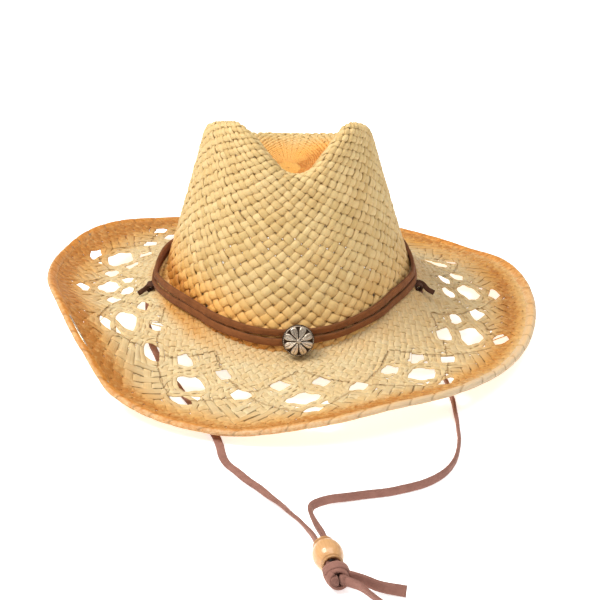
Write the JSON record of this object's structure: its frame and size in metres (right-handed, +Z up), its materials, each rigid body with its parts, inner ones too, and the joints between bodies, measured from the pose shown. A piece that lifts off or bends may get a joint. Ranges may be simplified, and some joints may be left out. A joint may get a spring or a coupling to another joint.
{
  "type": "cowboy hat",
  "caption": "Woven straw cowboy hat with an openwork brim curled at one side, a two-strand lace band with a domed concho, and a chin cord with a sliding wooden bead.",
  "frame": {"origin": "on the surface the hat stands on, under the middle of the crown", "axes": "+Z up, front of the hat towards -Y, +X to the right of somebody looking at the front"},
  "size_m": [0.3324, 0.5393, 0.1601],
  "materials": {
    "straw": "woven flat paper straw, matt, sprayed light brown at the edges",
    "straw_edge": "rolled paper straw, sprayed brown",
    "wire": "thin galvanised wire",
    "sweatband": "cotton twill tape",
    "thread": "cotton thread",
    "band_lace": "brown faux suede lace",
    "cord_lace": "red-brown faux suede lace",
    "silver": "antiqued cast metal",
    "wood": "clear varnished pale wood"
  },
  "bodies": {
    "root": {"crown": "straw", "brim": "straw", "brim_hem": "straw_edge", "brim_wire": "wire", "sweatband": "sweatband", "sweatband_stitching": "thread", "hat_band_lower_strand": "band_lace", "hat_band_upper_strand": "band_lace", "left_band_knot": "band_lace", "right_band_knot": "band_lace", "concho_nut": "silver", "chin_cord_left": "cord_lace", "chin_cord_right": "cord_lace", "end_knot": "cord_lace", "cord_tail_short": "cord_lace", "cord_tail_long": "cord_lace"},
    "bead": {"slider_bead": "wood"},
    "concho": {"concho_cap": "silver", "concho_post": "silver"}
  },
  "joints": [
    {"name": "bead_slide", "type": "slide", "parent": "root", "child": "bead", "axis": [-0.23, 0.9732, 0], "range_m": [0, 0.01]},
    {"name": "concho_turn", "type": "hinge", "parent": "root", "child": "concho", "pos_m": [0.0056, -0.09725, 0.03097], "axis": [0.0805, -0.9657, 0.2468], "continuous": true}
  ]
}
